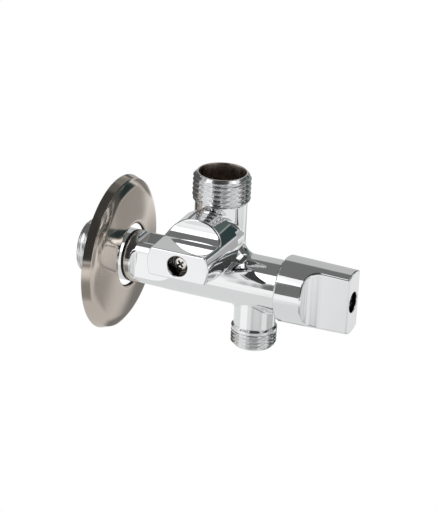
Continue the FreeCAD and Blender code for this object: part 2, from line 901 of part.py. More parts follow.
for item in doc.Objects:
    if "Invalid" in item.State or "Error" in item.State:
        raise RuntimeError(f"{item.Label} failed: {item.State}")
for piece in pieces:
    if piece.Shape.isNull() or not piece.Shape.isValid():
        raise RuntimeError(f"{piece.Label} has no valid shape")

os.makedirs("parts", exist_ok=True)
for piece in pieces:
    piece.Shape.exportStep(f"parts/{piece.Label}.step")
    print(piece.Label, len(piece.Shape.Solids), round(piece.Shape.Volume, 2))
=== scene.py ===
import json
import math
import bpy
import numpy as np
from mathutils import Matrix, Vector


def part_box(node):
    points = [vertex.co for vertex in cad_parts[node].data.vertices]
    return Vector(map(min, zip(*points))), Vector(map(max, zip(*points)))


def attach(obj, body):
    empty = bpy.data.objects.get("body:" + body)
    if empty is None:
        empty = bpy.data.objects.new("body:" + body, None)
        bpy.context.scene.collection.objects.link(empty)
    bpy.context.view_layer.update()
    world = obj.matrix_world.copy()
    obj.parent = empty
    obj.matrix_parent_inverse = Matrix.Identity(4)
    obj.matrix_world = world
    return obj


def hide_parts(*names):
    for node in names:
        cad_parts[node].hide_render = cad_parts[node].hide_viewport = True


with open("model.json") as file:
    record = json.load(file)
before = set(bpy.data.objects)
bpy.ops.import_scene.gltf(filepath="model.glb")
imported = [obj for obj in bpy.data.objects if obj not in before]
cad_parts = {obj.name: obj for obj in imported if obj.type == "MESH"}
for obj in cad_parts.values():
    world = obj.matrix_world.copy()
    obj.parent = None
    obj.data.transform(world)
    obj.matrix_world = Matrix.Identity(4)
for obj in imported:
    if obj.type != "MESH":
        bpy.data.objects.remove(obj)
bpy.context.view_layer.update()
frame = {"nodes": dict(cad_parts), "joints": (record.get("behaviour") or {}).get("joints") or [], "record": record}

# ---------------------------------------------------------------------------------------------
# The valve body: one brass casting, ground, buffed and chromed. The barrel comes out of the wall
# and carries the riser, the front headwork's boss and the lower outlet, with soft fillets where
# they meet. Four flats on the barrel take the wrench that screws it into the wall.
# ---------------------------------------------------------------------------------------------
MM = 0.001
mounts = {mount["name"]: mount for mount in frame["record"]["mounts"]}
joints = {joint["name"]: joint for joint in frame["joints"]}
body_low, body_high = (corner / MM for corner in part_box("valve_body"))
upper = Vector(mounts["upper_outlet_thread"]["pos_m"]) / MM
lower = Vector(mounts["lower_outlet_thread"]["pos_m"]) / MM
front_axis = Vector(joints["front_handle_turn"]["pos_m"]) / MM

barrel_radius = 9.63
riser_radius = 9.48
drop_radius = 7.55
cartridge_radius = 7.5
cartridge_depth = 14.0
handle_gap = 0.4
boss_face = front_axis.y + handle_gap
riser_bore, riser_bore_floor = 8.45, 25.4
inlet_bore, inlet_bore_end = 7.0, 28.0
drop_bore, drop_bore_roof = 5.9, -10.53
way_radius, way_offset, way_length = 2.8, 3.5, 6.0

# The flats: where they start and end, how far out they lie, and how their ends are rounded. They
# end crisply by the wall, and run out softly towards the end handle.
flat_start, flat_end, flat_half = 10.2, 26.5, 8.0
flat_corner, flat_edge, run_out, crisp_length = 1.4, 0.4, 30.0, 2.0
run_out_end = flat_end + run_out - math.sqrt(run_out ** 2 - (run_out - barrel_radius + flat_half) ** 2)
thread_end, riser_thread_foot, drop_thread_foot = 1.3, 28.8, -16.35

# The fillets' radii, how far from the axis they grow to full size, and the radii of plain edges.
boss_fillet, barrel_fillet, drop_fillet = 2.0, 4.5, 1.6
boss_blend, barrel_blend = 2.0, 3.0
thread_edge, face_edge, bore_edge = 0.1, 0.35, 0.12
rough_flat_end = flat_end - 6.0
casting_face = 0.43

# Each round stretch: where its axis starts, which way it runs, its radius and its length.
AXIS_X, AXIS_Z = Vector((1, 0, 0)), Vector((0, 0, 1))
FRONT, DOWN = Vector((0, -1, 0)), Vector((0, 0, -1))
barrel = (Vector((thread_end, 0, 0)), AXIS_X, barrel_radius, body_high.x - thread_end)
riser = (Vector((upper.x, 0, 0)), AXIS_Z, riser_radius, riser_thread_foot)
boss = (Vector((upper.x, 0, front_axis.z)), FRONT, barrel_radius, -boss_face)
drop = (Vector((lower.x, 0, 0)), DOWN, drop_radius, -drop_thread_foot)
overshoot = 1.0
cartridge_cut = cartridge_depth - handle_gap + overshoot
bores = [
    (Vector((thread_end - overshoot, 0, 0)), AXIS_X, inlet_bore, inlet_bore_end - thread_end + overshoot),
    (Vector((body_high.x + overshoot, 0, 0)), -AXIS_X, cartridge_radius, cartridge_cut),
    (Vector((upper.x, boss_face - overshoot, front_axis.z)), -FRONT, cartridge_radius, cartridge_cut),
    (Vector((upper.x, 0, riser_thread_foot + overshoot)), DOWN, riser_bore,
     riser_thread_foot + overshoot - riser_bore_floor),
    (Vector((upper.x, -way_offset, riser_bore_floor + overshoot)), DOWN, way_radius, way_length),
    (Vector((lower.x, 0, drop_thread_foot - overshoot)), AXIS_Z, drop_bore,
     drop_bore_roof - drop_thread_foot + overshoot),
    (Vector((lower.x, 0, drop_bore_roof - overshoot)), AXIS_Z, way_radius, way_length),
]


def lone(operator, **settings):
    """Adds one shape, lamp or camera with nothing else selected, and returns it."""
    bpy.ops.object.select_all(action="DESELECT")
    operator(**settings)
    return bpy.context.object


def round_bar(stretch, vertices=96):
    """A plain cylinder along a round stretch."""
    start, way, radius, length = stretch
    turn = way.to_track_quat("Z", "Y").to_euler()
    return lone(bpy.ops.mesh.primitive_cylinder_add, vertices=vertices, radius=radius * MM,
                depth=length * MM, location=(start + way * length / 2) * MM, rotation=turn)


def block(low, high):
    """A plain box between two corners."""
    low, high = Vector(low), Vector(high)
    piece = lone(bpy.ops.mesh.primitive_cube_add, size=1, location=(low + high) / 2 * MM)
    piece.scale = (high - low) * MM
    return piece


def combine(piece, tool, operation):
    """Adds a tool shape to a piece, or cuts it away, and bins the tool."""
    bpy.context.view_layer.objects.active = piece
    change = piece.modifiers.new("combine", "BOOLEAN")
    change.operation = operation
    change.object = tool
    bpy.ops.object.modifier_apply(modifier=change.name)
    bpy.data.objects.remove(tool, do_unlink=True)


def settle(piece):
    """Puts a piece's place into its mesh, and leaves the object at the origin."""
    bpy.context.view_layer.update()
    piece.data.transform(piece.matrix_world)
    piece.matrix_world = Matrix.Identity(4)


def even_skin(piece, size):
    """Remeshes a rough shape in even faces of about that size."""
    bpy.context.view_layer.objects.active = piece
    remesh = piece.modifiers.new("even", "REMESH")
    remesh.mode = "VOXEL"
    remesh.voxel_size = size * MM
    bpy.ops.object.modifier_apply(modifier=remesh.name)


def from_axis(points, stretch):
    """How far points lie outside a round stretch's wall, and which way is out."""
    start, way, radius, _ = stretch
    arm = points - np.array(start)
    arm = arm - np.outer(arm @ np.array(way), np.array(way))
    reach = np.maximum(np.linalg.norm(arm, axis=1), 1e-6)
    return reach - radius, arm / reach[:, None]


def fillet(first, second, radius):
    """Joins two skins with a fillet, which dies away where one runs smoothly on into the other."""
    (near, out), (far, lean) = first, second
    radius = radius * np.clip(1 - (out * lean).sum(1), 0, 1) + 1e-4
    reach, span = np.maximum(radius - near, 0), np.maximum(radius - far, 0)
    level = np.maximum(radius, np.minimum(near, far)) - np.hypot(reach, span)
    way = reach[:, None] * out + span[:, None] * lean
    size = np.linalg.norm(way, axis=1)[:, None]
    nearest = np.where((near < far)[:, None], out, lean)
    return level, np.where(size > 1e-9, way / np.maximum(size, 1e-9), nearest)


def cut_back(level, limit, rounding):
    """Keeps what lies inside both, with the edge between them rounded over."""
    inside, beyond = np.maximum(rounding + level, 0), np.maximum(rounding + limit, 0)
    return np.minimum(-rounding, np.maximum(level, limit)) + np.hypot(inside, beyond)


def soft_corner(first, second, radius):
    """How far points lie outside a corner between two faces that has that radius."""
    first, second = first + radius, second + radius
    corner = np.hypot(np.maximum(first, 0), np.maximum(second, 0))
    return corner + np.minimum(np.maximum(first, second), 0) - radius


def drilled(points, level, stretch, edge):
    """Takes a round hole with a flat end out of a skin."""
    start, way, _, length = stretch
    wall, _ = from_axis(points, stretch)
    floor = (points - np.array(start)) @ np.array(way) - length
    return cut_back(level, -soft_corner(wall, floor, edge), edge)


def casting_skin(points):
    """How far points lie outside the finished casting."""
    x, y, z = points.T
    round_wall, away = from_axis(points, barrel)
    crisp_end = x < flat_start + crisp_length
    beyond = np.where(crisp_end, flat_start - x, x - run_out_end)
    corner = np.where(crisp_end, flat_corner, run_out)
    for side in (y, -y, z, -z):
        round_wall = cut_back(round_wall, -soft_corner(beyond, flat_half - side, corner), flat_edge)
    front = fillet(from_axis(points, riser), from_axis(points, boss),
                   boss_fillet * np.clip(-y / boss_blend, 0, 1))
    blind = np.where(y > 0, from_axis(points, riser)[0], front[0])
    upright = (np.where(z < 0, np.maximum(blind, -z), blind), front[1])
    level, out = fillet((round_wall, away), upright, barrel_fillet * np.clip(z / barrel_blend, 0, 1))
    outlet, lean = from_axis(points, drop)
    level, _ = fillet((level, out), (np.maximum(outlet, z), lean),
                      drop_fillet * np.clip(-z / barrel_blend, 0, 1))
    for limit, rounding in ((thread_end - x, thread_edge), (x - body_high.x, face_edge),
                            (boss_face - y, face_edge), (z - riser_thread_foot, thread_edge),
                            (drop_thread_foot - z, thread_edge)):
        level = cut_back(level, limit, rounding)
    for bore in bores:
        level = drilled(points, level, bore, bore_edge)
    return level


def slope_of(skin, points, step=0.01):
    """Which way is straight out of a skin, at each point."""
    shifts = np.eye(3) * step
    slope = np.stack([skin(points + shift) - skin(points - shift) for shift in shifts], axis=1)
    return slope / np.maximum(np.linalg.norm(slope, axis=1), 1e-9)[:, None]


def buff(piece, skin, rounds=8, reach=0.6, pull=0.5):
    """Works a rough shape down to its true skin, evens out its faces and shades it by the skin."""
    mesh = piece.data
    count = len(mesh.vertices)
    points = np.empty(count * 3)
    mesh.vertices.foreach_get("co", points)
    points = points.reshape(-1, 3) / MM
    ends = np.empty(len(mesh.edges) * 2, np.int64)
    mesh.edges.foreach_get("vertices", ends)
    one, other = ends.reshape(-1, 2).T
    links = np.bincount(one, minlength=count) + np.bincount(other, minlength=count)
    for turn in range(rounds):
        if 1 < turn < rounds - 2:
            middle = np.stack([np.bincount(one, points[other, axis], count)
                               + np.bincount(other, points[one, axis], count) for axis in range(3)], axis=1)
            points += pull * (middle / links[:, None] - points)
        points -= np.clip(skin(points), -reach, reach)[:, None] * slope_of(skin, points)
    mesh.vertices.foreach_set("co", (points * MM).ravel())
    mesh.polygons.foreach_set("use_smooth", np.ones(len(mesh.polygons), bool))
    mesh.update()
    mesh.normals_split_custom_set_from_vertices(slope_of(skin, points))


casting = round_bar(barrel)
casting.name = "valve_casting"
settle(casting)
for stretch in (riser, boss, drop):
    combine(casting, round_bar(stretch), "UNION")
for bore in bores:
    combine(casting, round_bar(bore), "DIFFERENCE")
for turn in range(4):
    side = block((flat_start, -barrel_radius, flat_half),
                 (rough_flat_end, barrel_radius, 2 * barrel_radius))
    settle(side)
    side.data.transform(Matrix.Rotation(turn * math.pi / 2, 4, "X"))
    combine(casting, side, "DIFFERENCE")
even_skin(casting, casting_face)
buff(casting, casting_skin)

# ---------------------------------------------------------------------------------------------
# The three pipe threads on the casting: each a turned sleeve with a chamfered mouth, and a true
# helix cut into it, which fades out at the foot. The bores behind them stay bare, dull metal.
# ---------------------------------------------------------------------------------------------
half_inch, three_eighths = (10.4775, 1.814), (8.331, 1.337)
thread_depth_share = 0.6403
turns_round, rows_per_pitch = 128, 13

# The chamfer at a thread's mouth, the slope at its foot, its flanks and how it fades out.
chamfer, chamfer_slope = 1.4, 0.95
foot_step, foot_slope = 0.12, 1.2
flank_slope, fade_share, undercut_depth = 1.3, 0.6, 0.1

# The rounding at a bore's mouth, how far a sleeve's foot tucks into the casting, and a hair's width.
mouth, mouth_step, tuck, hair = 0.3, 0.08, 0.25, 0.01


def arc_points(centre, radius, first, last, steps):
    """Points of an arc, as (radius, height), between two angles in degrees."""
    return [(centre[0] + radius * math.cos(math.radians(first + (last - first) * k / steps)),
             centre[1] + radius * math.sin(math.radians(first + (last - first) * k / steps)))
            for k in range(steps + 1)]


def turned(name, outline, steps=turns_round):
    """A piece turned on a lathe about Z from a closed outline of (radius, height) points."""
    piece = lone(bpy.ops.mesh.primitive_circle_add, vertices=len(outline), radius=MM)
    piece.name = name
    for vertex, (radius, height) in zip(piece.data.vertices, outline):
        vertex.co = Vector((radius, 0, height)) * MM
    bpy.ops.object.mode_set(mode="EDIT")
    bpy.ops.mesh.select_all(action="SELECT")
    bpy.ops.mesh.spin(steps=steps, angle=2 * math.pi, center=(0, 0, 0), axis=(0, 0, 1))
    bpy.ops.mesh.select_all(action="SELECT")
    bpy.ops.mesh.remove_doubles(threshold=1e-6)
    bpy.ops.mesh.delete_loose()
    bpy.ops.mesh.select_all(action="SELECT")
    bpy.ops.mesh.normals_make_consistent(inside=False)
    bpy.ops.object.mode_set(mode="OBJECT")
    return piece


def crisp(piece, degrees=35):
    """Smooth shading that keeps the edges sharper than an angle."""
    bpy.ops.object.select_all(action="DESELECT")
    piece.select_set(True)
    bpy.context.view_layer.objects.active = piece
    bpy.ops.object.shade_smooth_by_angle(angle=math.radians(degrees))


def threaded_sleeve(name, size, length, bore, neck, plain=0.0, undercut=0.0):
    """A sleeve with its foot at height 0: the thread starts above a plain band and an undercut."""
    crest, pitch = size
    depth = thread_depth_share * pitch
    rows = int(round(length / pitch * rows_per_pitch))
    heights = [length * k / rows for k in range(rows + 1)]
    outline = [(crest, height) for height in heights]
    outline += [(bore + mouth, length), (bore + mouth_step, length - mouth_step)]
    outline += [(bore, length - mouth), (bore, 0.0)]
    outline += [(bore + tuck, -mouth), (neck - tuck, -mouth)]
    piece = turned(name, outline)

    def wall_radius(angle, height):
        wave = np.abs((height / pitch - angle / (2 * math.pi)) % 1 - 0.5) * 2
        groove = depth * np.clip(flank_slope * (wave - 0.5) + 0.5, 0, 1)
        fade = np.clip((height - plain - undercut) / (fade_share * pitch), 0, 1)
        skin = crest - groove * fade
        skin = np.where((height > plain) & (height < plain + undercut), neck - undercut_depth, skin)
        skin = np.minimum(skin, neck + foot_step + foot_slope * height)
        return np.minimum(skin, crest - chamfer + chamfer_slope * (length - height))

    points = np.array([vertex.co for vertex in piece.data.vertices]) / MM
    radius, angle = np.hypot(points[:, 0], points[:, 1]), np.arctan2(points[:, 1], points[:, 0])
    height = points[:, 2]
    wall = radius > crest - hair
    points[:, :2] *= np.where(wall, wall_radius(angle, height) / radius, 1.0)[:, None]
    piece.data.vertices.foreach_set("co", (points * MM).ravel())
    crisp(piece, 75)
    step = 0.05
    rise = (wall_radius(angle, height + step) - wall_radius(angle, height - step)) / (2 * step)
    swing = step / crest
    lead = (wall_radius(angle + swing, height) - wall_radius(angle - swing, height)) / (2 * step)
    out = np.stack([np.cos(angle) + lead * np.sin(angle),
                    np.sin(angle) - lead * np.cos(angle), -rise], axis=1)
    out /= np.linalg.norm(out, axis=1)[:, None]
    shaded = wall & (height > hair) & (height < length - hair)
    piece.data.normals_split_custom_set_from_vertices(np.where(shaded[:, None], out, 0.0))
    return piece


sleeves = [
    (threaded_sleeve("riser_sleeve", half_inch, body_high.z - riser_thread_foot, riser_bore, riser_radius),
     Matrix.Translation(Vector((upper.x, 0, riser_thread_foot)) * MM)),
    (threaded_sleeve("drop_sleeve", three_eighths, drop_thread_foot - body_low.z, drop_bore, drop_radius,
                     plain=1.6, undercut=0.5),
     Matrix.Translation(Vector((lower.x, 0, drop_thread_foot)) * MM) @ Matrix.Rotation(math.pi, 4, "X")),
    (threaded_sleeve("inlet_sleeve", half_inch, thread_end - body_low.x, inlet_bore, barrel_radius),
     Matrix.Translation(AXIS_X * thread_end * MM) @ Matrix.Rotation(-math.pi / 2, 4, "Y")),
]
for sleeve, place in sleeves:
    sleeve.data.transform(place)


def tree_of(name):
    """A new material, its nodes, and the maker of links between them."""
    made = bpy.data.materials.new(name)
    made.use_nodes = True
    return made, made.node_tree.nodes, made.node_tree.links


def noise(nodes, scale, detail=3.0, stretch=(1, 1, 1)):
    """Noise on object coordinates, in patches per metre."""
    place = nodes.new("ShaderNodeTexCoord")
    turn = nodes.new("ShaderNodeMapping")
    turn.inputs["Scale"].default_value = stretch
    made = nodes.new("ShaderNodeTexNoise")
    made.inputs["Scale"].default_value = scale
    made.inputs["Detail"].default_value = detail
    nodes.id_data.links.new(place.outputs["Object"], turn.inputs["Vector"])
    nodes.id_data.links.new(turn.outputs["Vector"], made.inputs["Vector"])
    return made.outputs["Fac"]


def spread(nodes, source, low, high, first=0.3, last=0.7):
    """A value ranged between two limits, as it runs from the first to the last; noise by default."""
    made = nodes.new("ShaderNodeMapRange")
    made.inputs["From Min"].default_value = first
    made.inputs["From Max"].default_value = last
    made.inputs["To Min"].default_value = low
    made.inputs["To Max"].default_value = high
    nodes.id_data.links.new(source, made.inputs["Value"])
    return made.outputs["Result"]


def blend(nodes, share, first, second):
    """A colour between two."""
    made = nodes.new("ShaderNodeMixRGB")
    made.inputs["Color1"].default_value = (*first, 1)
    made.inputs["Color2"].default_value = (*second, 1)
    nodes.id_data.links.new(share, made.inputs["Fac"])
    return made.outputs["Color"]


def uneven(nodes, source, strength):
    """A surface that a value raises and lowers by up to a millimetre."""
    made = nodes.new("ShaderNodeBump")
    made.inputs["Distance"].default_value = MM
    made.inputs["Strength"].default_value = strength
    nodes.id_data.links.new(source, made.inputs["Height"])
    return made.outputs["Normal"]


def metal(name, colour, rough, wave=0.0, wave_size=120, tint=0.0, stretch=(1, 1, 1)):
    """A metal with uneven polish, faint tarnish and the slight waves that buffing leaves."""
    made, nodes, links = tree_of(name)
    shader = nodes["Principled BSDF"]
    shader.inputs["Metallic"].default_value = 1.0
    shader.inputs["Base Color"].default_value = (*colour, 1)
    links.new(spread(nodes, noise(nodes, 260, 4.0, stretch), *rough), shader.inputs["Roughness"])
    if tint:
        tarnish = spread(nodes, noise(nodes, 90, 2.0, stretch), 0, 1)
        dull = tuple(c * (1 - tint) for c in colour)
        links.new(blend(nodes, tarnish, colour, dull), shader.inputs["Base Color"])
    if wave:
        links.new(uneven(nodes, noise(nodes, wave_size, 1.0), wave), shader.inputs["Normal"])
    return made


body_chrome = metal("body_chrome", (0.87, 0.88, 0.885), (0.02, 0.06), wave=0.05, wave_size=110)
thread_chrome = metal("thread_chrome", (0.86, 0.865, 0.87), (0.08, 0.14), tint=0.08)
bore_metal = metal("bore_metal", (0.62, 0.53, 0.47), (0.25, 0.42), tint=0.5, stretch=(3, 3, 0.2))


def add_finish(piece, *finishes):
    """Gives a piece its materials, the first one all over."""
    piece.data.materials.clear()
    for finish in finishes:
        piece.data.materials.append(finish)


# The bores that water fills, from inside each thread's mouth, and how near their walls a face lies.
mouth_depth, slack_along, slack_across = 0.4, 0.3, 0.2
wet_bores = [
    (Vector((body_low.x - overshoot, 0, 0)), AXIS_X, inlet_bore, inlet_bore_end - body_low.x + overshoot),
    (Vector((upper.x, 0, body_high.z - mouth_depth)), DOWN, riser_bore,
     body_high.z - mouth_depth - riser_bore_floor),
    (Vector((lower.x, 0, body_low.z + mouth_depth)), AXIS_Z, drop_bore, drop_bore_roof - body_low.z),
]


def line_bores(piece):
    """The inside faces of the bores get the bare metal, which is the last material."""
    last = len(piece.data.materials) - 1
    for start, way, radius, length in wet_bores:
        for face in piece.data.polygons:
            arm = face.center / MM - start
            along = arm.dot(way)
            away = (arm - way * along).length
            if along < length + slack_along and away < radius + slack_across:
                face.material_index = last


add_finish(casting, body_chrome, thread_chrome, bore_metal)
for sleeve, _ in sleeves:
    add_finish(sleeve, body_chrome, thread_chrome, bore_metal)
    for face in sleeve.data.polygons:
        face.material_index = 1
bpy.ops.object.select_all(action="DESELECT")
for piece in [casting] + [sleeve for sleeve, _ in sleeves]:
    piece.select_set(True)
bpy.context.view_layer.objects.active = casting
bpy.ops.object.join()
line_bores(casting)
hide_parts("valve_body")
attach(casting, "valve")

# ---------------------------------------------------------------------------------------------
# The wall rosette: a shallow dome spun from thin sheet and plated in warm polished nickel. Its
# skirt turns back to the wall, and a lip turns in at the hole, which slides on the barrel.
# ---------------------------------------------------------------------------------------------
rosette_radius = (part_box("wall_rosette")[1] / MM).z
dome_radius, skirt_height, sheet = 118.0, 3.95, 0.9
hole_radius, lip_round = 11.5, 1.1
knee_radius, rim_radius, knee_bend = 23.3, 27.75, 9.0
# The rim's rounding, and how far out from the hole the painted shade reaches.
edge_round, hole_shade_width = 0.35, 0.35

# The small easing of the rim's corner and of the hem that stands on the wall.
rim_in, rim_down, rim_corner = 0.1, 0.12, 0.32
hem_height, hem_in = 0.15, 0.12
dome_centre = skirt_height - math.sqrt(dome_radius ** 2 - rosette_radius ** 2)


def dome_side(shell, steps=30):
    """The dome from the hole to the rim, or its inner side: a shallow sphere, then a tighter bend."""
    start = hole_radius + lip_round
    knee = math.asin(knee_radius / dome_radius)
    side = []
    for k in range(steps + 1):
        radius = start + (knee_radius - start) * k / steps
        lean = math.asin(radius / dome_radius)
        side.append((radius - shell * math.sin(lean),
                     dome_centre + dome_radius * math.cos(lean) - shell * math.cos(lean)))
    last = math.asin(math.sin(knee) + (rim_radius - edge_round - knee_radius) / knee_bend)
    middle = (knee_radius - knee_bend * math.sin(knee),
              dome_centre + dome_radius * math.cos(knee) - knee_bend * math.cos(knee))
    side += arc_points(middle, knee_bend - shell,
                       90 - math.degrees(knee), 90 - math.degrees(last), 16)[1:]
    return side


outside, inside = dome_side(0), dome_side(sheet)
rim_height = outside[-1][1]
lip_foot = outside[0][1] - lip_round
rosette_outline = arc_points((hole_radius + lip_round, lip_foot), lip_round, 180, 95, 10)
rosette_outline += outside[1:]
rosette_outline += [(rim_radius - rim_in, rim_height - rim_down), (rim_radius, rim_height - rim_corner)]
rosette_outline += [(rosette_radius, hem_height), (rosette_radius - hem_in, 0), (rosette_radius - sheet, 0)]
rosette_outline += [(rim_radius - sheet, rim_height - sheet)]
rosette_outline += inside[::-1][1:-1]
rosette_outline += [(hole_radius + sheet, lip_foot)]
rosette = turned("rosette", rosette_outline, 192)
rosette.data.transform(Matrix.Rotation(math.pi / 2, 4, "Y"))
crisp(rosette, 30)
nickel = metal("polished_nickel", (0.60, 0.54, 0.475), (0.10, 0.16), wave=0.02, wave_size=60)
# A near-black paint for the edge at the hole, which is painted shade.
hole_shade_paint = metal("hole_shade_paint", (0.07, 0.065, 0.06), (0.35, 0.5), tint=0.3)
add_finish(rosette, nickel, hole_shade_paint)
# The faces at the hole's edge are painted near black: painted shade, in place of the shade behind it.
for face in rosette.data.polygons:
    if math.hypot(face.center.y, face.center.z) < (hole_radius + hole_shade_width) * MM:
        face.material_index = 1
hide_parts("wall_rosette")
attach(rosette, "rosette")

# ---------------------------------------------------------------------------------------------
# The two lever handles: each a chromed casting, a round collar that hides the headwork and runs
# out into a flat paddle between two scoops, with a sunk hole for its screw in the end.
# ---------------------------------------------------------------------------------------------
handle_low, handle_high = (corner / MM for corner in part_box("end_handle"))
handle_length = handle_high.x - handle_low.x
back_radius, end_radius = handle_high.z, 11.62
paddle_half, scoop_start, scoop_root = 5.18, 10.6, 5.0
recess_radius, recess_depth = 3.8, 4.8
scoop_edge, end_edge, collar_edge, hole_edge = 0.55, 0.5, 0.35, 0.22
box_half, box_beyond, lever_face = 20.0, 5.0, 0.32
cavity = (Vector((-overshoot, 0, 0)), AXIS_X, 10.3, 6.2 + overshoot)
socket = (Vector((5.0, 0, 0)), AXIS_X, 3.6, 7.0)
screw_hole = (Vector((10.0, 0, 0)), AXIS_X, 1.7, 13.0)
recess = (Vector((handle_length + overshoot, 0, 0)), -AXIS_X, recess_radius, recess_depth + overshoot)
handle_holes = (cavity, socket, screw_hole, recess)


def handle_skin(points):
    """How far points lie outside a finished handle, whose back face is at x = 0."""
    x, y, z = points.T
    taper = back_radius + (end_radius - back_radius) * x / handle_length
    level = np.hypot(y, z) - taper
    scoop = soft_corner(scoop_start - x, paddle_half - np.abs(y), scoop_root)
    level = cut_back(level, -scoop, scoop_edge)
    level = cut_back(level, x - handle_length, end_edge)
    level = cut_back(level, -x, collar_edge)
    for hole in handle_holes:
        level = drilled(points, level, hole, hole_edge)
    return level


lever = round_bar((Vector((0, 0, 0)), AXIS_X, end_radius, handle_length))
settle(lever)
for side in (-1, 1):
    scoop_box = block((scoop_start + overshoot, -box_half, -box_half),
                      (handle_length + box_beyond, -paddle_half, box_half))
    settle(scoop_box)
    scoop_box.data.transform(Matrix.Scale(side, 4, Vector((0, 1, 0))))
    if side < 0:
        scoop_box.data.flip_normals()
    combine(lever, scoop_box, "DIFFERENCE")
for hole in handle_holes:
    combine(lever, round_bar(hole), "DIFFERENCE")
even_skin(lever, lever_face)
buff(lever, handle_skin, rounds=10)
chrome_colour = (0.87, 0.875, 0.885)
handle_chrome = metal("handle_chrome", chrome_colour, (0.03, 0.07), wave=0.03, wave_size=90)
add_finish(lever, handle_chrome)

# The walls of the screw recess are painted darker than chrome, in place of the shade down there.
sunk_colour, sunk_lip, sunk_reach, sunk_from = (0.20, 0.19, 0.18), 0.25, recess_radius + 0.2, 12.0
sunk = lever.data.attributes.new("sunk", "FLOAT", "POINT")
for vertex in lever.data.vertices:
    depth = handle_length - sunk_lip - vertex.co.x / MM
    within = math.hypot(vertex.co.y, vertex.co.z) < sunk_reach * MM and vertex.co.x > sunk_from * MM
    sunk.data[vertex.index].value = min(max(depth / sunk_lip, 0), 1) if within else 0
nodes, links = handle_chrome.node_tree.nodes, handle_chrome.node_tree.links
where = nodes.new("ShaderNodeAttribute")
where.attribute_name = "sunk"
links.new(blend(nodes, where.outputs["Fac"], chrome_colour, sunk_colour),
          nodes["Principled BSDF"].inputs["Base Color"])


def placed_copy(piece, name, place):
    """A copy of a piece with its own mesh, put in its place."""
    made = piece.copy()
    made.data = piece.data.copy()
    made.name = name
    bpy.context.collection.objects.link(made)
    made.data.transform(place)
    return made


# Each handle set: where its axis starts, and how the lever's own axes turn on to it.
end_set = Matrix.Translation(Vector((handle_low.x, 0, 0)) * MM)
front_turn = Matrix(((0, 0, -1), (-1, 0, 0), (0, 1, 0))).to_4x4()
front_set = Matrix.Translation(front_axis * MM) @ front_turn
places = {"end": end_set, "front": front_set}
for side, place in places.items():
    handle = placed_copy(lever, f"{side}_lever", place)
    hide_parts(f"{side}_handle")
    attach(handle, f"{side}_handle_set")
bpy.data.objects.remove(lever, do_unlink=True)

# ---------------------------------------------------------------------------------------------
# The handle screws: small pan head steel screws with a cross recess, one down each handle's hole.
# ---------------------------------------------------------------------------------------------
head_radius, head_height, head_round = 2.65, 2.0, 0.8
shank_radius, shank_length, point_length = 1.5, 12.8, 0.6
crown, crown_radius, crown_step, edge_turn = 0.14, 1.2, 0.04, 78
seat = handle_length - recess_depth
head_top, tip = seat + head_height, seat - shank_length
screw_outline = [(0, tip), (shank_radius - point_length, tip), (shank_radius, tip + point_length)]
screw_outline += [(shank_radius, seat), (head_radius, seat)]
edge_centre = (head_radius - head_round, head_top - head_round - crown)
screw_outline += arc_points(edge_centre, head_round, 0, edge_turn, 7)
screw_outline += [(crown_radius, head_top - crown_step), (0, head_top)]
screw = turned("screw", screw_outline, 96)
screw.data.transform(Matrix.Rotation(math.pi / 2, 4, "Y"))
cross_half, cross_length, cross_depth, cross_turn = 0.4, 1.6, 1.2, 38
draft_across, draft_up, draft_below = 0.5, 0.8, 0.5
for quarter in (0, 1):
    blade = block((head_top - cross_depth, -cross_length, -cross_half),
                  (head_top + 0.3, cross_length, cross_half))
    settle(blade)
    for vertex in blade.data.vertices:
        if vertex.co.x < (head_top - draft_below) * MM:
            vertex.co.y *= draft_across
            vertex.co.z *= draft_up
    blade.data.transform(Matrix.Rotation(math.radians(cross_turn + 90 * quarter), 4, "X"))
    combine(screw, blade, "DIFFERENCE")
crisp(screw, 30)
steel = metal("screw_steel", (0.88, 0.85, 0.80), (0.07, 0.13), wave=0.02, wave_size=900, tint=0.12)
# A near-black paint for the inside of the cross, which is painted shade.
cross_shade_paint = metal("cross_shade_paint", (0.16, 0.15, 0.14), (0.3, 0.45), tint=0.3)
add_finish(screw, steel, cross_shade_paint)

# The inside of the cross is painted darker than steel, in place of the shade there.
floor_clear, crown_clear, cross_clear = 0.5, 0.16, 0.05
for face in screw.data.polygons:
    sunken = seat + floor_clear < face.center.x / MM < head_top - crown_clear
    if sunken and math.hypot(face.center.y, face.center.z) < (cross_length + cross_clear) * MM:
        face.material_index = 1
for side, place in places.items():
    fixing = placed_copy(screw, f"{side}_screw", place)
    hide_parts(f"{side}_handle_screw")
    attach(fixing, f"{side}_handle_set")
bpy.data.objects.remove(screw, do_unlink=True)

# ---------------------------------------------------------------------------------------------
# The headworks inside: turned brass housings and spindles, ceramic discs, rubber rings, plastic
# washers and spring steel clips. They keep the construction's own shapes, and get real finishes.
# ---------------------------------------------------------------------------------------------


def plastic(name, colour, rough, grain):
    """A matt or glossy non-metal with a fine grain and slightly uneven colour."""
    made, nodes, links = tree_of(name)
    shader = nodes["Principled BSDF"]
    patches = noise(nodes, 400, 3.0)
    dull = tuple(c * 0.8 for c in colour)
    links.new(blend(nodes, spread(nodes, patches, 0, 1), colour, dull), shader.inputs["Base Color"])
    links.new(spread(nodes, patches, rough, rough + 0.1), shader.inputs["Roughness"])
    links.new(uneven(nodes, noise(nodes, 2500, 2.0), grain), shader.inputs["Normal"])
    return made


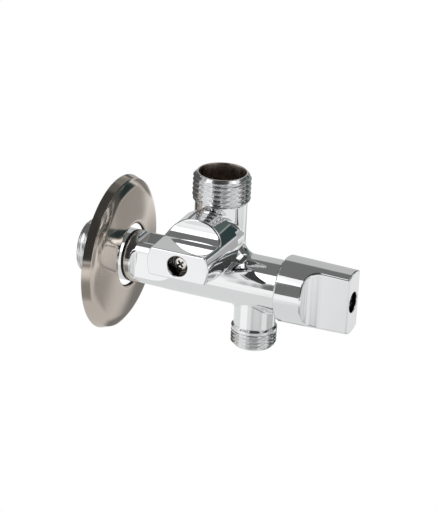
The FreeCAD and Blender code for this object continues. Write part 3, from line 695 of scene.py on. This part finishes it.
slot_finishes = {
    "brass": metal("turned_brass", (0.72, 0.56, 0.30), (0.18, 0.34), wave=0.06, wave_size=700, tint=0.2),
    "spring_steel": metal("spring_steel", (0.42, 0.41, 0.39), (0.2, 0.35), tint=0.3),
    "ceramic": plastic("ceramic", (0.86, 0.84, 0.79), 0.18, 0.02),
    "rubber": plastic("rubber", (0.03, 0.03, 0.032), 0.5, 0.08),
    "ptfe": plastic("ptfe", (0.85, 0.85, 0.83), 0.4, 0.04),
    "chrome": body_chrome,
    "handle_chrome": handle_chrome,
    "satin_nickel": nickel,
    "screw_steel": steel,
}
for node in frame["nodes"].values():
    for slot in node.material_slots:
        slot.material = slot_finishes[slot.material.name.split(".")[0]]

# ---------------------------------------------------------------------------------------------
# The stage: a pale floor and a white room, with two soft window lamps, and grey, black and dark
# teal cards stood round the valve, as for any chrome, so that its curves have something to show.
# ---------------------------------------------------------------------------------------------
scene = bpy.context.scene
scene.view_settings.view_transform = "Standard"
target = Vector((0.04102, 0, 0.00669))
floor_height, stage_reach = -0.5, 1.6


def larger(nodes, one, other):
    """The larger of two values."""
    made = nodes.new("ShaderNodeMath")
    made.operation = "MAXIMUM"
    nodes.id_data.links.new(one, made.inputs[0])
    nodes.id_data.links.new(other, made.inputs[1])
    return made.outputs[0]


def mixed(nodes, share, first, second):
    """Two surfaces mixed by a share."""
    made = nodes.new("ShaderNodeMixShader")
    for socket, source in zip(made.inputs, (share, first, second)):
        nodes.id_data.links.new(source, socket)
    return made.outputs["Shader"]


def shown_to_mirrors(nodes, plain, bright):
    """Mixes a plain surface with one that the camera, a mirror and a glass see."""
    rays = nodes.new("ShaderNodeLightPath").outputs
    seen = larger(nodes, rays["Is Camera Ray"], rays["Is Glossy Ray"])
    return mixed(nodes, larger(nodes, seen, rays["Is Transmission Ray"]), plain, bright)


floor_paint, nodes, links = tree_of("floor_paint")
shader = nodes["Principled BSDF"]
shader.inputs["Base Color"].default_value = (0.85, 0.85, 0.85, 1)
shader.inputs["Roughness"].default_value = 0.9
glow = nodes.new("ShaderNodeEmission")
place = nodes.new("ShaderNodeTexCoord")
reach = nodes.new("ShaderNodeVectorMath")
reach.operation = "LENGTH"
links.new(place.outputs["Object"], reach.inputs[0])
# Mirrors see the floor glow dimmer near the valve than far out: painted shade, in place of the valve's shadow
# round it.
near_glow, far_glow, near_reach, far_reach = 0.74, 1.0, 0.9, 1.7
shade = spread(nodes, reach.outputs["Value"], near_glow, far_glow, near_reach, far_reach)
path = nodes.new("ShaderNodeLightPath")
links.new(larger(nodes, shade, path.outputs["Is Camera Ray"]), glow.inputs["Strength"])
links.new(shown_to_mirrors(nodes, shader.outputs["BSDF"], glow.outputs["Emission"]),
          nodes["Material Output"].inputs["Surface"])
floor = lone(bpy.ops.mesh.primitive_plane_add, size=2.2 * stage_reach, location=(0, 0, floor_height))
floor.name = "floor"
add_finish(floor, floor_paint)

world = bpy.data.worlds.new("studio")
scene.world = world
world.use_nodes = True
nodes, links = world.node_tree.nodes, world.node_tree.links
room = nodes["Background"]
room.inputs["Color"].default_value = (1, 1, 1, 1)
room.inputs["Strength"].default_value = 0.6
backdrop = nodes.new("ShaderNodeBackground")
backdrop.inputs["Color"].default_value = (1, 1, 1, 1)
links.new(shown_to_mirrors(nodes, room.outputs["Background"], backdrop.outputs["Background"]),
          nodes["World Output"].inputs["Surface"])


def heading(bearing, height):
    """Which way lies at a bearing from the valve's front and a height, both in degrees."""
    bearing, height = math.radians(bearing), math.radians(height)
    return Vector((math.sin(bearing) * math.cos(height),
                   -math.cos(bearing) * math.cos(height), math.sin(height)))


def stand(bearing, height, reach):
    """A place round the valve, at a heading and a distance."""
    return target + heading(bearing, height) * reach


def span(degrees, reach):
    """How wide something is that covers that angle from the valve."""
    return 2 * reach * math.tan(math.radians(degrees / 2))


# Each lamp: its bearing and height, the angles that it covers across and up, and its brightness.
windows = {"left_window": (-40, 41, 39, 34, 0.98), "right_window": (73, 48, 34, 28, 0.75)}
for name, (bearing, height, across, up, level) in windows.items():
    place = stand(bearing, height, stage_reach)
    lamp = lone(bpy.ops.object.light_add, type="AREA", location=place)
    lamp.name = name
    lamp.rotation_euler = (target - place).to_track_quat("-Z", "Y").to_euler()
    lamp.data.shape = "RECTANGLE"
    lamp.data.size, lamp.data.size_y = span(across, stage_reach), span(up, stage_reach)
    lamp.data.energy = level * math.pi * lamp.data.size * lamp.data.size_y


def soft_card_paint(name, colour, fade):
    """A glow that fades out towards the card's edges, over a share of its size across and up."""
    paint, nodes, links = tree_of(name)
    glow = nodes.new("ShaderNodeEmission")
    glow.inputs["Color"].default_value = (*colour, 1)
    place = nodes.new("ShaderNodeTexCoord")
    parts = nodes.new("ShaderNodeSeparateXYZ")
    links.new(place.outputs["Object"], parts.inputs["Vector"])
    both = nodes.new("ShaderNodeMath")
    both.operation = "MULTIPLY"
    for k, share in enumerate(fade):
        away = nodes.new("ShaderNodeMath")
        away.operation = "ABSOLUTE"
        links.new(parts.outputs[k], away.inputs[0])
        edge = spread(nodes, away.outputs[0], 1.0, 0.0, 0.5 - share, 0.5)
        edge.node.interpolation_type = "SMOOTHSTEP"
        links.new(edge, both.inputs[k])
    clear = nodes.new("ShaderNodeBsdfTransparent")
    links.new(mixed(nodes, both.outputs[0], clear.outputs[0], glow.outputs["Emission"]),
              nodes["Material Output"].inputs["Surface"])
    return paint


# Each card: its bearing and height, the angles that it covers across and up, its brightness, its
# distance, and the angle over which its edges fade out.
cards = {
    "front_card": (18, 36, 62, 74, 0.055, 1.5, 4),
    "front_low_card": (16, -5, 58, 14, 0.22, 1.45, 8),
    "left_low_card": (-39, 6, 37, 40, 0.90, 1.55, 3),
    "left_strip_card": (-15, 17, 11, 40, 0.17, 1.45, 2),
    "left_side_card": (-72, 11, 26, 60, 0.38, 1.6, 8),
    "left_top_card": (-84, 48, 56, 24, 0.42, 1.65, 8),
    "left_dark_card": (-116, 15, 64, 66, 0.10, 1.7, 8),
    "back_left_card": (-162, 16, 38, 72, 0.54, 1.75, 5),
    "back_card": (176, 15, 28, 66, 0.28, 1.7, 7),
    "teal_card": (151, 14, 30, 26, (0.032, 0.052, 0.054), 0.28, 3),
    "teal_top_card": (151, 36, 34, 26, (0.09, 0.12, 0.11), 0.3, 5),
    "back_low_card": (150, -12, 34, 30, 0.44, 1.6, 8),
    "right_back_card": (118, 15, 46, 66, 0.12, 1.65, 8),
    "right_side_card": (74, 9, 36, 56, 0.45, 1.6, 8),
    "zenith_card": (-150, 72, 76, 54, 0.17, 1.8, 6),
    "top_card": (-90, 82, 60, 70, 0.17, 1.7, 6),
    "top_front_card": (70, 78, 60, 46, 0.07, 1.65, 6),
    "floor_front_card": (34, -44, 64, 46, 0.36, 0.55, 14),
    "floor_back_card": (182, -38, 38, 44, 0.25, 0.55, 10),
    "floor_right_card": (118, -32, 54, 30, 0.45, 0.7, 12),
    "floor_light_card": (-40, -26, 46, 18, 1.0, 0.7, 7),
    "flat_card": (-143, 21, 14, 10, 0.15, 0.101, 2),
}
for name, (bearing, height, across, up, colour, reach, fade) in cards.items():
    place = stand(bearing, height, reach)
    card = lone(bpy.ops.mesh.primitive_plane_add, size=1, location=place)
    card.name = name
    card.rotation_euler = (target - place).to_track_quat("Z", "Y").to_euler()
    card.scale = (span(across, reach), span(up, reach), 1)
    colour = colour if isinstance(colour, tuple) else (colour,) * 3
    add_finish(card, soft_card_paint(name, colour, (fade / across, fade / up)))
    card.visible_camera = False
    card.visible_diffuse = False
    card.visible_shadow = False

camera_bearing, camera_height, roll = 22.6, 23.03, math.radians(2.88)
distance, focal_length = 0.91053, 177.8
back = heading(camera_bearing, camera_height)
right = Vector((math.cos(math.radians(camera_bearing)), math.sin(math.radians(camera_bearing)), 0))
upward = back.cross(right)
tilted_right = right * math.cos(roll) + upward * math.sin(roll)
tilted_up = upward * math.cos(roll) - right * math.sin(roll)
camera = lone(bpy.ops.object.camera_add, location=target + back * distance)
camera.rotation_euler = Matrix((tilted_right, tilted_up, back)).transposed().to_euler()
camera.data.lens = focal_length
scene.camera = camera
